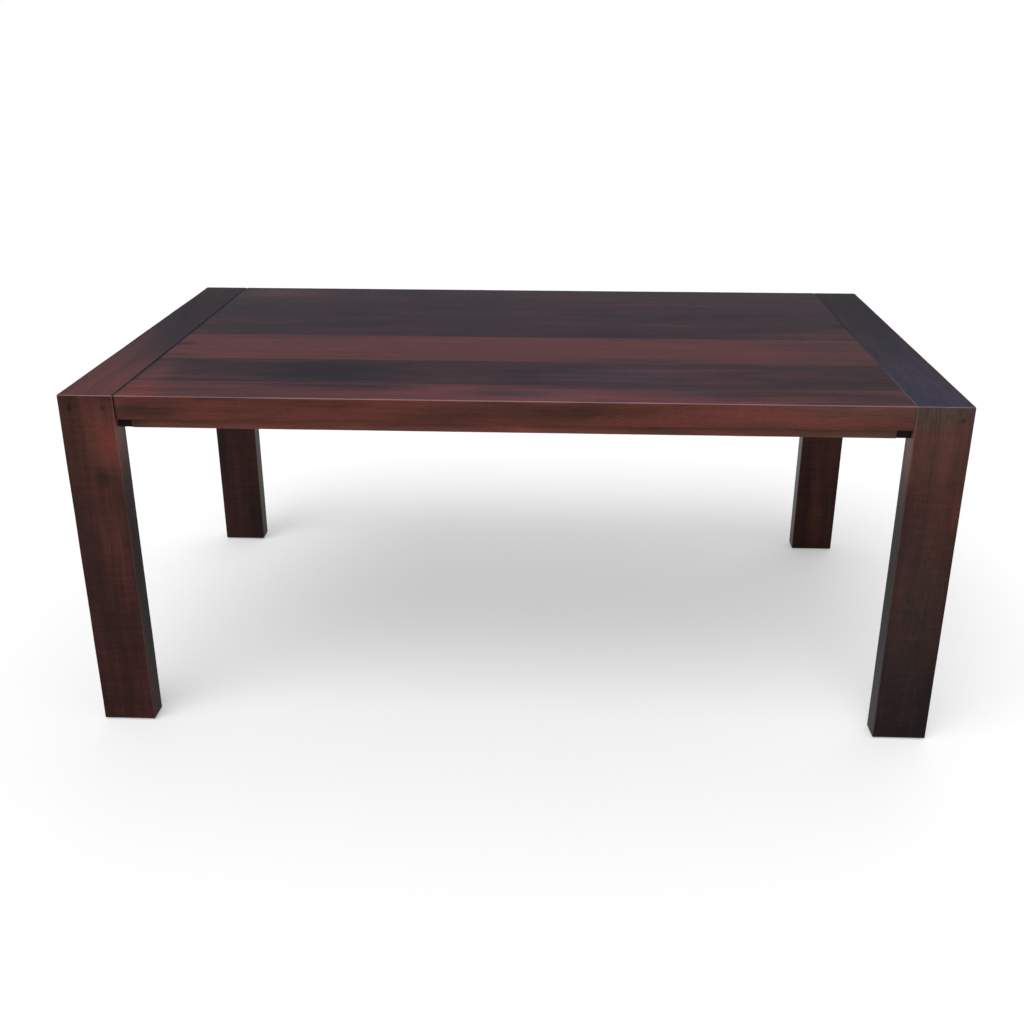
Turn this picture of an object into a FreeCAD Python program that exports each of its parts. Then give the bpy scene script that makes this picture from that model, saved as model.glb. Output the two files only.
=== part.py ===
import FreeCAD, Part
import math
import os

# A parsons dining table in millimetres. +X runs along its length, +Y to its back and +Z up, with the
# origin on the floor under the centre of the top. Each end is an inverted U: two legs and a header as
# wide as they are, mitred at the top corners. Boards run between the two end frames and make the field.

# Overall size
LENGTH = 1828.8
WIDTH = 1066.8
HEIGHT = 762.0

# End frames
LEG_WIDTH = 114.3               # along the table's length; the header is as wide
LEG_DEPTH = 50.8                # front to back
TOP_THICKNESS = 50.8            # headers and edge boards
EASE = 2.0                      # radius of the eased arrises
FOOT_CHAMFER = 2.0              # round the bottom of each leg

# Field between the end frames
LEFT_SEAM = 2.0                 # open joint between the left header and the field
RIGHT_SEAM = 0.6
EDGE_BOARD_WIDTH = 114.3
FIELD_THICKNESS = 31.75
BOARD_1_WIDTH = 185.0           # the field's inner boards from the front; the last takes what is left
BOARD_2_WIDTH = 219.0
BOARD_3_WIDTH = 217.1
END_EASE = 1.0                  # radius of the arrises at the seams

# Loose tongues between the boards
TONGUE_THICKNESS = 6.0
TONGUE_WIDTH = 20.0
TONGUE_STOP = 45.0              # from the board's end to the end of its groove
GROOVE_CLEARANCE = 0.1          # on each face of a tongue or spline
GROOVE_BOTTOM_GAP = 0.5         # past each edge of a tongue or spline

# Splines and through dowels in the mitres
SPLINE_WIDTH = 48.0
SPLINE_LENGTH = 26.0
SPLINE_THICKNESS = 8.0
SPLINE_DISTANCE = 43.0          # along the mitre, from its outer arris to the spline's centre
DOWEL_OFFSET = 35.0             # each side of the leg's centre
DOWEL_DROP = 28.0               # below the top
DOWEL_RADIUS = 5.0
DOWEL_LENGTH = 84.0
DOWEL_END_GAP = 2.0             # past the dowel's inner end

# Loose tongue across each seam
SEAM_TONGUE_STOP = 60.0         # from the long edge to the end of its groove

# Pieces under the field
SKIRT_HEIGHT = 19.05
SKIRT_WIDTH = 63.5
SKIRT_SETBACK = 10.0            # from the edge board's face
BEARER_REACH = 30.0             # from the leg's inner side in under the field
BEARER_UNDER_HEADER = 60.0
BEARER_END_SETBACK = 14.0
BEARER_CLEARANCE = 0.5          # between the bearer and each leg
CLEAT_WIDTH = 76.2
CLEAT_END_GAP = 1.0             # between a cleat or batten and the edge board
BATTEN_WIDTH = 76.2
BATTEN_THICKNESS = 25.4
BATTEN_INSET = 400.0            # from the leg's inner side to the first batten's centre
BATTEN_COUNT = 3

# Countersunk screws that hold the skirt strips and bearers
SCREW_RADIUS = 2.25
SCREW_LENGTH = 35.0             # over all
SCREW_HEAD_RADIUS = 4.5
SCREW_HEAD_HEIGHT = 3.0
SKIRT_SCREW_INSET = 90.0        # from the strip's end to its first screw
SKIRT_SCREW_COUNT = 5
BEARER_SCREW_INSET = 45.0       # from the bearer's end to its first screw
BEARER_SCREW_COUNT = 5

# Washer-head screws in slots, which let the boards swell and shrink on the battens and cleats
SLOT_SCREW_LENGTH = 45.0        # under the head
SLOT_HEAD_RADIUS = 6.0
SLOT_HEAD_HEIGHT = 2.5
SLOT_TRAVEL = 6.0               # from one end of the slot's centre line to the other
SLOT_CLEARANCE = 0.25           # each side of the shank
CLEAT_SCREW_INSET = 55.0        # from the field's end

# Bolts that hold an end frame to its bearer
BOLT_RADIUS = 4.0
BOLT_LENGTH = 32.0              # under the head
BOLT_HEAD_HEIGHT = 5.3
BOLT_HEAD_ACROSS_FLATS = 13.0
BOLT_CLEARANCE = 0.5            # round the shank in the bearer
BOLT_WASHER_RADIUS = 8.0
BOLT_WASHER_THICKNESS = 1.6
BOLT_INSET = 30.0               # from the header's inner side
BOLT_LEG_GAP = 75.0             # from the leg to the first bolt's centre
BOLT_COUNT = 4
INSERT_RADIUS = 6.0
INSERT_LENGTH = 15.0
INSERT_BOTTOM_GAP = 3.0

# Glides under the feet: a plate with two pins that are pressed into the leg
GLIDE_HEIGHT = 3.0
GLIDE_MARGIN = 8.0              # from the foot's edges
GLIDE_EASE = 1.0
GLIDE_PIN_OFFSET = 32.0         # each side of the leg's centre
GLIDE_PIN_RADIUS = 3.0
GLIDE_PIN_LENGTH = 14.0

# Small round pieces that repeat are drawn with this many flat sides
SCREW_SIDES = 8
BOLT_SIDES = 12
DOWEL_SIDES = 16

# Faces and lines that follow from these sizes
OUTER_X = LENGTH / 2
INNER_X = OUTER_X - LEG_WIDTH
LEG_X = OUTER_X - LEG_WIDTH / 2
OUTER_Y = WIDTH / 2
INNER_Y = OUTER_Y - LEG_DEPTH
LEG_Y = OUTER_Y - LEG_DEPTH / 2
EDGE_Y = OUTER_Y - EDGE_BOARD_WIDTH
UNDERSIDE = HEIGHT - TOP_THICKNESS
FIELD_UNDERSIDE = HEIGHT - FIELD_THICKNESS
FIELD_MIDDLE = HEIGHT - FIELD_THICKNESS / 2
SKIRT_UNDERSIDE = UNDERSIDE - SKIRT_HEIGHT
FIELD_ENDS = {-1: -INNER_X + LEFT_SEAM, 1: INNER_X - RIGHT_SEAM}
MITRE_LENGTH = math.hypot(LEG_DEPTH, TOP_THICKNESS)
MITRE_TILT = math.degrees(math.atan2(LEG_DEPTH, TOP_THICKNESS))

SIDES = {"front": -1, "back": 1}
ENDS = {"left": -1, "right": 1}
ALONG_X = FreeCAD.Vector(1, 0, 0)
ALONG_Y = FreeCAD.Vector(0, 1, 0)
UP = FreeCAD.Vector(0, 0, 1)
TINY = 0.01                     # for telling whether an edge lies on a face


def save(name, shape):
    """Writes one node."""
    shape.exportStep("parts/" + name + ".step")


def block(x_pair, y_pair, z_pair):
    """A box between two values on each axis, given in either order."""
    (x0, x1), (y0, y1), (z0, z1) = sorted(x_pair), sorted(y_pair), sorted(z_pair)
    return Part.makeBox(x1 - x0, y1 - y0, z1 - z0, FreeCAD.Vector(x0, y0, z0))


def prism(points, start, depth):
    """A solid from an outline given as (y, z) points, running depth along +X from x = start."""
    corners = [FreeCAD.Vector(start, y, z) for y, z in points]
    face = Part.Face(Part.makePolygon(corners + corners[:1]))
    return face.extrude(ALONG_X * depth)


def spread(count, reach):
    """Places evenly spaced from -reach to reach."""
    return [reach * (2 * i / (count - 1) - 1) for i in range(count)]


def lies_on(edge, axis, value):
    """Whether every end of an edge has this value on the axis."""
    return all(abs(getattr(v.Point, axis) - value) < TINY for v in edge.Vertexes)


def runs_along(edge, axis):
    """Whether an edge is parallel to the axis."""
    others = [a for a in "xyz" if a != axis]
    first, last = edge.Vertexes[0].Point, edge.Vertexes[-1].Point
    return all(abs(getattr(first, a) - getattr(last, a)) < TINY for a in others)


def near(cuts, shape):
    """The cuts that reach a shape."""
    return [cut for cut in cuts if cut.BoundBox.intersect(shape.BoundBox)]


# ---- Where the boards and the fasteners stand

def board_lines():
    """The y of each line between boards, from the front edge to the back edge."""
    lines = [-OUTER_Y, -EDGE_Y]
    for width in (BOARD_1_WIDTH, BOARD_2_WIDTH, BOARD_3_WIDTH):
        lines.append(lines[-1] + width)
    return lines + [EDGE_Y, OUTER_Y]


BOARD_LINES = board_lines()
FIELD_CENTRES = [(a + b) / 2 for a, b in zip(BOARD_LINES[1:-2], BOARD_LINES[2:-1])]
BATTEN_PLACES = spread(BATTEN_COUNT, INNER_X - BATTEN_INSET)


def bearer_screw_places():
    """The (x, y) of the screws that hold both bearers to the field."""
    ys = spread(BEARER_SCREW_COUNT, OUTER_Y - BEARER_END_SETBACK - BEARER_SCREW_INSET)
    return [(end * (INNER_X - BEARER_REACH / 2), y) for end in ENDS.values() for y in ys]


def skirt_screw_places():
    """The (x, y) of the screws that hold both skirt strips to the edge boards."""
    xs = spread(SKIRT_SCREW_COUNT, INNER_X - BEARER_REACH - SKIRT_SCREW_INSET)
    return [(x, skirt_y(side)) for side in SIDES.values() for x in xs]


def bolt_places():
    """The (x, y) of the bolts that hold both end frames to their bearers."""
    ys = spread(BOLT_COUNT, INNER_Y - BOLT_LEG_GAP)
    return [(end * (INNER_X + BOLT_INSET), y) for end in ENDS.values() for y in ys]


def skirt_y(side):
    """The centre line of a skirt strip."""
    return side * (OUTER_Y - SKIRT_SETBACK - SKIRT_WIDTH / 2)


def slotted_screw_places():
    """The (x, y, underside) of each screw that runs in a slot: the battens' and then the cleats'."""
    places = [(x, y, FIELD_UNDERSIDE - BATTEN_THICKNESS) for x in BATTEN_PLACES for y in FIELD_CENTRES]
    for end in ENDS.values():
        places += [(FIELD_ENDS[end] - end * CLEAT_SCREW_INSET, y, UNDERSIDE) for y in FIELD_CENTRES]
    return places


# ---- Round pieces and holes

def ring_of_corners(radius, sides, stretch=0.0):
    """Corners of a flat-sided circle about the origin, with its halves moved apart along Y."""
    turns = [2 * math.pi * (i + 0.5) / sides for i in range(sides)]
    points = [(radius * math.cos(t), radius * math.sin(t)) for t in turns]
    return [FreeCAD.Vector(x, y + math.copysign(stretch / 2, y), 0) for x, y in points]


def loop(corners):
    return Part.makePolygon(corners + corners[:1])


def rod(radius, length, start, direction, sides):
    """A flat-sided round rod from start along direction."""
    solid = Part.Face(loop(ring_of_corners(radius, sides))).extrude(UP * length)
    solid.Placement = FreeCAD.Placement(start, FreeCAD.Rotation(UP, direction))
    return solid


def upright(radius, sides, x, y, bottom, top):
    """An upright rod at (x, y) between two heights."""
    return rod(radius, top - bottom, FreeCAD.Vector(x, y, bottom), UP, sides)


def tube(outer, inner, sides, x, y, bottom, top):
    """An upright tube or flat washer."""
    return upright(outer, sides, x, y, bottom, top).cut(upright(inner, sides, x, y, bottom, top))


def slot_hole(x, y, bottom, top):
    """The slot along Y in which a slotted screw's shank can slide."""
    corners = ring_of_corners(SCREW_RADIUS + SLOT_CLEARANCE, SCREW_SIDES, SLOT_TRAVEL)
    return Part.Face(loop(corners)).extrude(UP * (top - bottom)).translated(FreeCAD.Vector(x, y, bottom))


def countersunk_screw(x, y, bottom):
    """A screw driven upwards, with the flat of its head at this height."""
    wide = loop(ring_of_corners(SCREW_HEAD_RADIUS, SCREW_SIDES))
    narrow = loop(ring_of_corners(SCREW_RADIUS, SCREW_SIDES)).translated(UP * SCREW_HEAD_HEIGHT)
    head = Part.makeLoft([wide, narrow], True, True).translated(FreeCAD.Vector(x, y, bottom))
    shank = upright(SCREW_RADIUS, SCREW_SIDES, x, y, bottom + SCREW_HEAD_HEIGHT, bottom + SCREW_LENGTH)
    return head.fuse(shank).removeSplitter()


def slotted_screw(x, y, bottom):
    """A washer-head screw driven upwards, with its head under this height."""
    head = upright(SLOT_HEAD_RADIUS, SCREW_SIDES, x, y, bottom - SLOT_HEAD_HEIGHT, bottom)
    shank = upright(SCREW_RADIUS, SCREW_SIDES, x, y, bottom, bottom + SLOT_SCREW_LENGTH)
    return head.fuse(shank).removeSplitter()


def frame_bolt(x, y):
    """A hexagon-head bolt that runs up through a washer and the bearer into its insert."""
    seat = SKIRT_UNDERSIDE - BOLT_WASHER_THICKNESS
    corner = BOLT_HEAD_ACROSS_FLATS / 2 / math.cos(math.pi / 6)
    head = upright(corner, 6, x, y, seat - BOLT_HEAD_HEIGHT, seat)
    shank = upright(BOLT_RADIUS, BOLT_SIDES, x, y, seat, seat + BOLT_LENGTH)
    return head.fuse(shank).removeSplitter()


# ---- End frames

def end_frame(end):
    """Both legs and the header of one end as a single solid, with every outer arris eased."""
    outline = [
        (-OUTER_Y, GLIDE_HEIGHT), (-OUTER_Y, HEIGHT), (OUTER_Y, HEIGHT), (OUTER_Y, GLIDE_HEIGHT),
        (INNER_Y, GLIDE_HEIGHT), (INNER_Y, UNDERSIDE), (-INNER_Y, UNDERSIDE), (-INNER_Y, GLIDE_HEIGHT),
    ]
    frame = prism(outline, min(end * OUTER_X, end * INNER_X), LEG_WIDTH)
    frame = frame.makeChamfer(FOOT_CHAMFER, [e for e in frame.Edges if lies_on(e, "z", GLIDE_HEIGHT)])
    long_edges = [
        e for e in frame.Edges
        if e.BoundBox.ZMax > HEIGHT / 2 and not (runs_along(e, "x") and lies_on(e, "z", UNDERSIDE))
    ]
    return frame.makeFillet(EASE, long_edges)


def mitre_point(side, distance):
    """The (y, z) of a point on a corner's mitre, this far in from its outer arris."""
    share = distance / MITRE_LENGTH
    return side * (OUTER_Y - LEG_DEPTH * share), HEIGHT - TOP_THICKNESS * share


def leg_region(end, side):
    """The space that a leg has up to its mitre, with room to spare outside the frame."""
    spare = LEG_DEPTH
    top_y, top_z = mitre_point(side, -spare)
    low_y, low_z = mitre_point(side, MITRE_LENGTH)
    outline = [
        (top_y, top_z), (low_y, low_z), (low_y, -spare), (side * (OUTER_Y + spare), -spare),
        (side * (OUTER_Y + spare), top_z),
    ]
    return prism(outline, min(end * OUTER_X, end * INNER_X) - spare, LEG_WIDTH + 2 * spare)


def mitre_spline(end, side, clearance, end_gap):
    """The spline across a mitre, or with clearances the two mortises that it fills."""
    width = SPLINE_WIDTH + 2 * clearance
    length = SPLINE_LENGTH + 2 * end_gap
    thickness = SPLINE_THICKNESS + 2 * clearance
    spline = block(
        (-width / 2, width / 2), (-length / 2, length / 2), (-thickness / 2, thickness / 2)
    )
    spline.rotate(FreeCAD.Vector(), ALONG_X, -side * MITRE_TILT)
    y, z = mitre_point(side, SPLINE_DISTANCE)
    return spline.translated(FreeCAD.Vector(end * LEG_X, y, z))


def corner_dowels(end, side, end_gap):
    """The two dowels through a leg's face into its header, or with a gap the holes that they fill."""
    z = HEIGHT - DOWEL_DROP
    starts = [
        FreeCAD.Vector(end * LEG_X + offset, side * OUTER_Y, z)
        for offset in (-DOWEL_OFFSET, DOWEL_OFFSET)
    ]
    length = DOWEL_LENGTH + end_gap
    return [rod(DOWEL_RADIUS, length, start, ALONG_Y * -side, DOWEL_SIDES) for start in starts]


def glide_pins(end, side):
    """The pins of one leg's glide, which its two holes fit."""
    return [
        upright(
            GLIDE_PIN_RADIUS, SCREW_SIDES, end * LEG_X + offset, side * LEG_Y,
            GLIDE_HEIGHT, GLIDE_HEIGHT + GLIDE_PIN_LENGTH,
        )
        for offset in (-GLIDE_PIN_OFFSET, GLIDE_PIN_OFFSET)
    ]


def foot_glide(end, side):
    """The plate under one foot, with its lower arrises chamfered, and its pins."""
    half_x = LEG_WIDTH / 2 - GLIDE_MARGIN
    half_y = LEG_DEPTH / 2 - GLIDE_MARGIN
    plate = block(
        (end * LEG_X - half_x, end * LEG_X + half_x),
        (side * LEG_Y - half_y, side * LEG_Y + half_y),
        (0, GLIDE_HEIGHT),
    )
    plate = plate.makeChamfer(GLIDE_EASE, [e for e in plate.Edges if lies_on(e, "z", 0)])
    return plate.multiFuse(glide_pins(end, side)).removeSplitter()


def leg(frame, end, side):
    """One leg, cut from its frame at the mitre, mortised and bored for what it holds."""
    cuts = [mitre_spline(end, side, GROOVE_CLEARANCE, GROOVE_BOTTOM_GAP)]
    cuts += corner_dowels(end, side, DOWEL_END_GAP) + glide_pins(end, side)
    return frame.common(leg_region(end, side)).cut(cuts)


def header(frame, end):
    """The board across one end, mitred to both legs, with its mortises, groove and holes."""
    cuts = [seam_tongue(end, GROOVE_CLEARANCE, GROOVE_BOTTOM_GAP)]
    for side in SIDES.values():
        cuts.append(leg_region(end, side))
        cuts.append(mitre_spline(end, side, GROOVE_CLEARANCE, GROOVE_BOTTOM_GAP))
        cuts += corner_dowels(end, side, DOWEL_END_GAP)
    top = UNDERSIDE + INSERT_LENGTH + INSERT_BOTTOM_GAP
    inserts = [upright(INSERT_RADIUS, BOLT_SIDES, x, y, UNDERSIDE, top) for x, y in bolt_places()]
    return frame.cut(cuts + near(inserts, frame))


def seam_tongue(end, clearance, edge_gap):
    """The loose tongue across a seam, or with clearances the grooves that it fills."""
    half_width = TONGUE_WIDTH / 2 + edge_gap
    half_length = OUTER_Y - SEAM_TONGUE_STOP + edge_gap
    half_thickness = TONGUE_THICKNESS / 2 + clearance
    return block(
        (end * INNER_X - half_width, end * INNER_X + half_width),
        (-half_length, half_length),
        (FIELD_MIDDLE - half_thickness, FIELD_MIDDLE + half_thickness),
    )


# ---- Field

def field_panel():
    """All the boards as a single solid: thick at the front and back edges, with eased arrises."""
    outline = [
        (-OUTER_Y, HEIGHT), (OUTER_Y, HEIGHT), (OUTER_Y, UNDERSIDE), (EDGE_Y, UNDERSIDE),
        (EDGE_Y, FIELD_UNDERSIDE), (-EDGE_Y, FIELD_UNDERSIDE), (-EDGE_Y, UNDERSIDE),
        (-OUTER_Y, UNDERSIDE),
    ]
    panel = prism(outline, FIELD_ENDS[-1], FIELD_ENDS[1] - FIELD_ENDS[-1])
    long_edges = [
        e for e in panel.Edges
        if runs_along(e, "x") and (lies_on(e, "y", -OUTER_Y) or lies_on(e, "y", OUTER_Y))
    ]
    panel = panel.makeFillet(EASE, long_edges)
    end_edges = [e for e in panel.Edges if runs_along(e, "y") and lies_on(e, "z", HEIGHT)]
    return panel.makeChamfer(END_EASE, end_edges)


def board_tongue(line, clearance, edge_gap):
    """The loose tongue on a line between boards, or with clearances the grooves that it fills."""
    half_width = TONGUE_WIDTH / 2 + edge_gap
    half_thickness = TONGUE_THICKNESS / 2 + clearance
    ends = [FIELD_ENDS[end] - end * (TONGUE_STOP - edge_gap) for end in ENDS.values()]
    return block(
        ends,
        (line - half_width, line + half_width),
        (FIELD_MIDDLE - half_thickness, FIELD_MIDDLE + half_thickness),
    )


def screws_in_field():
    """Every screw that comes up into the boards from below."""
    screws = [countersunk_screw(x, y, SKIRT_UNDERSIDE) for x, y in bearer_screw_places()]
    screws += [countersunk_screw(x, y, SKIRT_UNDERSIDE) for x, y in skirt_screw_places()]
    return screws + [slotted_screw(x, y, bottom) for x, y, bottom in slotted_screw_places()]


def field_boards():
    """Each board of the field by name, from the front to the back, grooved and bored."""
    panel = field_panel()
    cuts = [board_tongue(y, GROOVE_CLEARANCE, GROOVE_BOTTOM_GAP) for y in BOARD_LINES[1:-1]]
    cuts += [seam_tongue(end, GROOVE_CLEARANCE, GROOVE_BOTTOM_GAP) for end in ENDS.values()]
    cuts += screws_in_field()
    names = ["field_board_%d" % i for i in range(1, len(BOARD_LINES) - 2)]
    names = ["front_edge_board"] + names + ["back_edge_board"]
    boards = {}
    for name, front, back in zip(names, BOARD_LINES, BOARD_LINES[1:]):
        strip = block((-OUTER_X, OUTER_X), (front, back), (UNDERSIDE, HEIGHT))
        boards[name] = panel.common(strip).cut(cuts)
    return boards


# ---- Under the field

def slotted(bar, bottom):
    """A batten or cleat with this underside, slotted for the screws that hold it."""
    slots = [slot_hole(x, y, bottom, FIELD_UNDERSIDE) for x, y, _ in slotted_screw_places()]
    return bar.cut(near(slots, bar))


def cross_batten(x):
    """A batten that keeps the field flat, with its lower arrises chamfered."""
    bottom = FIELD_UNDERSIDE - BATTEN_THICKNESS
    bar = block(
        (x - BATTEN_WIDTH / 2, x + BATTEN_WIDTH / 2),
        (-EDGE_Y + CLEAT_END_GAP, EDGE_Y - CLEAT_END_GAP),
        (bottom, FIELD_UNDERSIDE),
    )
    bar = bar.makeChamfer(EASE, [e for e in bar.Edges if lies_on(e, "z", bottom)])
    return slotted(bar, bottom)


def end_cleat(end):
    """The packing under the field's end that brings it to the headers' thickness."""
    bar = block(
        (FIELD_ENDS[end], FIELD_ENDS[end] - end * CLEAT_WIDTH),
        (-EDGE_Y + CLEAT_END_GAP, EDGE_Y - CLEAT_END_GAP),
        (UNDERSIDE, FIELD_UNDERSIDE),
    )
    screws = [countersunk_screw(x, y, SKIRT_UNDERSIDE) for x, y in bearer_screw_places()]
    return slotted(bar, UNDERSIDE).cut(near(screws, bar))


def end_bearer(end):
    """The cross piece under a seam. It is notched round both legs, and its ends show beside them."""
    reach_x = end * (INNER_X - BEARER_REACH)
    shallow = block(
        (reach_x, end * (INNER_X - BEARER_CLEARANCE)),
        (-OUTER_Y + BEARER_END_SETBACK, OUTER_Y - BEARER_END_SETBACK),
        (SKIRT_UNDERSIDE, UNDERSIDE),
    )
    deep = block(
        (reach_x, end * (INNER_X + BEARER_UNDER_HEADER)),
        (-INNER_Y + BEARER_CLEARANCE, INNER_Y - BEARER_CLEARANCE),
        (SKIRT_UNDERSIDE, UNDERSIDE),
    )
    board = shallow.fuse(deep).removeSplitter()
    cuts = [countersunk_screw(x, y, SKIRT_UNDERSIDE) for x, y in bearer_screw_places()]
    cuts += [
        upright(BOLT_RADIUS + BOLT_CLEARANCE, BOLT_SIDES, x, y, SKIRT_UNDERSIDE, UNDERSIDE)
        for x, y in bolt_places()
    ]
    return board.cut(near(cuts, board))


def skirt_strip(side):
    """The strip under a long edge, set back from its face, between the two bearers."""
    y = skirt_y(side)
    strip = block(
        (-INNER_X + BEARER_REACH, INNER_X - BEARER_REACH),
        (y - SKIRT_WIDTH / 2, y + SKIRT_WIDTH / 2),
        (SKIRT_UNDERSIDE, UNDERSIDE),
    )
    low = [e for e in strip.Edges if runs_along(e, "x") and lies_on(e, "z", SKIRT_UNDERSIDE)]
    strip = strip.makeChamfer(END_EASE, low)
    screws = [countersunk_screw(x, y, SKIRT_UNDERSIDE) for x, y in skirt_screw_places()]
    return strip.cut(near(screws, strip))


# ---- Write every node

def save_end_frames():
    for end_name, end in ENDS.items():
        frame = end_frame(end)
        save("header_" + end_name, header(frame, end))
        save("seam_tongue_" + end_name, seam_tongue(end, 0, 0))
        for side_name, side in SIDES.items():
            corner = side_name + "_" + end_name
            save("leg_" + corner, leg(frame, end, side))
            save("mitre_spline_" + corner, mitre_spline(end, side, 0, 0))
            save("foot_glide_" + corner, foot_glide(end, side))
            save("corner_dowels_" + corner, Part.makeCompound(corner_dowels(end, side, 0)))


def save_field():
    for name, board in field_boards().items():
        save(name, board)
    for i, line in enumerate(BOARD_LINES[1:-1], 1):
        save("board_tongue_%d" % i, board_tongue(line, 0, 0))


def save_under_frame():
    for end_name, end in ENDS.items():
        save("end_cleat_" + end_name, end_cleat(end))
        save("end_bearer_" + end_name, end_bearer(end))
    for side_name, side in SIDES.items():
        save("skirt_strip_" + side_name, skirt_strip(side))
    for i, x in enumerate(BATTEN_PLACES, 1):
        save("cross_batten_%d" % i, cross_batten(x))


def save_fasteners():
    groups = {
        "slotted_screws": [slotted_screw(x, y, bottom) for x, y, bottom in slotted_screw_places()],
        "skirt_screws": [countersunk_screw(x, y, SKIRT_UNDERSIDE) for x, y in skirt_screw_places()],
        "bearer_screws": [countersunk_screw(x, y, SKIRT_UNDERSIDE) for x, y in bearer_screw_places()],
        "frame_bolts": [frame_bolt(x, y) for x, y in bolt_places()],
        "frame_bolt_washers": [
            tube(
                BOLT_WASHER_RADIUS, BOLT_RADIUS, BOLT_SIDES, x, y,
                SKIRT_UNDERSIDE - BOLT_WASHER_THICKNESS, SKIRT_UNDERSIDE,
            )
            for x, y in bolt_places()
        ],
        "threaded_inserts": [
            tube(INSERT_RADIUS, BOLT_RADIUS, BOLT_SIDES, x, y, UNDERSIDE, UNDERSIDE + INSERT_LENGTH)
            for x, y in bolt_places()
        ],
    }
    for name, pieces in groups.items():
        save(name, Part.makeCompound(pieces))


os.makedirs("parts", exist_ok=True)
save_end_frames()
save_field()
save_under_frame()
save_fasteners()
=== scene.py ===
"""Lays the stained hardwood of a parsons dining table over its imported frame, and sets a studio round it."""
import math

import bpy
import numpy as np
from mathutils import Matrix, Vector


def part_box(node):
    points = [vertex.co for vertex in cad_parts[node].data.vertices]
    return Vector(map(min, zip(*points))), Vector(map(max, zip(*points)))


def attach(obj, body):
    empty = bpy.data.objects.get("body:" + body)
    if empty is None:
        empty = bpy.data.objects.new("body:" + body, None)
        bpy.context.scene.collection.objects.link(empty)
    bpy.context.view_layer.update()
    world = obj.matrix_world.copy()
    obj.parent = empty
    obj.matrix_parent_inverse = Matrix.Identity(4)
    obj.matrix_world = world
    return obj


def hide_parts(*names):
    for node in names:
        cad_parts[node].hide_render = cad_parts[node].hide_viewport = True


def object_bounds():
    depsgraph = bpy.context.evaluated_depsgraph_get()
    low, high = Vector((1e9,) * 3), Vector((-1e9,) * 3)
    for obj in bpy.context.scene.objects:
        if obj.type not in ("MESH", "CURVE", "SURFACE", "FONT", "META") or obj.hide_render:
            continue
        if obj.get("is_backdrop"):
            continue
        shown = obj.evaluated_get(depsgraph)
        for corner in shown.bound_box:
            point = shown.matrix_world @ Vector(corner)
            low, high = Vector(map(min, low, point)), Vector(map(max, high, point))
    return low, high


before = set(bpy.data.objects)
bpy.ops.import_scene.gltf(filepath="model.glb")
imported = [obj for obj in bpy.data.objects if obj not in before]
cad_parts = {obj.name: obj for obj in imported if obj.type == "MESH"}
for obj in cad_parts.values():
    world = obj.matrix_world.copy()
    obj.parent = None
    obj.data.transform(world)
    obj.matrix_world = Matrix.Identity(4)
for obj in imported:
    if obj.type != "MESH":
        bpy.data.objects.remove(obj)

bl_info = {
    "name": "Parsons Dining Table",
    "version": (1, 0, 0),
    "blender": (4, 5, 0),
    "location": "3D View > Sidebar > Table",
    "description": "Makes the boards, finishes and studio of a parsons dining table",
    "category": "Object",
}

CAD_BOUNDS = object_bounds()
BODY = "root"
X, Y, Z = 0, 1, 2
IMAGE_WIDTH = 1024                      # pixels
SENSOR_WIDTH = 36.0                     # millimetres


# ---- The frame's main sizes, in metres

def corners(node):
    """A node's lowest and highest corner as two arrays."""
    low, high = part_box(node)
    return np.array(low), np.array(high)


TABLE_LOW, TABLE_HIGH = (np.array(corner) for corner in CAD_BOUNDS)
LEG_LOW, LEG_HIGH = corners("leg_front_left")
HEADER_LOW, _ = corners("header_left")
TOP_Z = TABLE_HIGH[Z]
LEG_DEPTH = LEG_HIGH[Y] - LEG_LOW[Y]
TOP_THICKNESS = TOP_Z - HEADER_LOW[Z]

SIDES = {"front": -1, "back": 1}
ENDS = {"left": -1, "right": 1}
LEGS = [(side, end) for side in SIDES for end in ENDS]
FIELD_BOARDS = ["field_board_%d" % i for i in range(1, 5)]


def linear(code):
    """An sRGB hex code as linear red, green, blue and alpha."""
    values = [int(code[i:i + 2], 16) / 255 for i in (0, 2, 4)]
    return [v / 12.92 if v <= 0.04045 else ((v + 0.055) / 1.055) ** 2.4 for v in values] + [1.0]


# ---- Settings that a user would change

def length(name, description, default):
    """A setting that is a length in metres."""
    return bpy.props.FloatProperty(
        name=name, description=description, default=default, min=0, unit="LENGTH", precision=5,
    )


def share(name, description, default, top=1.0):
    """A setting that is a plain number from nothing up to its top."""
    return bpy.props.FloatProperty(
        name=name, description=description, default=default, min=0, max=top, precision=3,
    )


def colour(name, description, code):
    """A setting that is a colour."""
    return bpy.props.FloatVectorProperty(
        name=name, description=description, default=linear(code)[:3], subtype="COLOR", min=0, max=1,
    )


class TABLE_PG_boards(bpy.types.PropertyGroup):
    """Sizes that the boards take beside the frame's own."""
    arris: length("Arris", "Radius of the eased arrises", 0.0022)
    seam_arris: length("Seam arris", "Radius of the arrises at the seams and foot", 0.0012)
    joint_arris: length("Joint arris", "Radius of the arrises where boards meet edge to edge", 0.0003)
    arris_wear: share("Arris wear", "How far the arris radius wanders, as a share of it", 0.3)
    unevenness: length("Unevenness", "How far a surface swells out or in", 0.00012)
    mitre_line: length("Mitre line", "Depth of the fine groove along each mitre", 0.00025)
    step: length("Grid step", "Distance between the points of a board's surface", 0.009)


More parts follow.
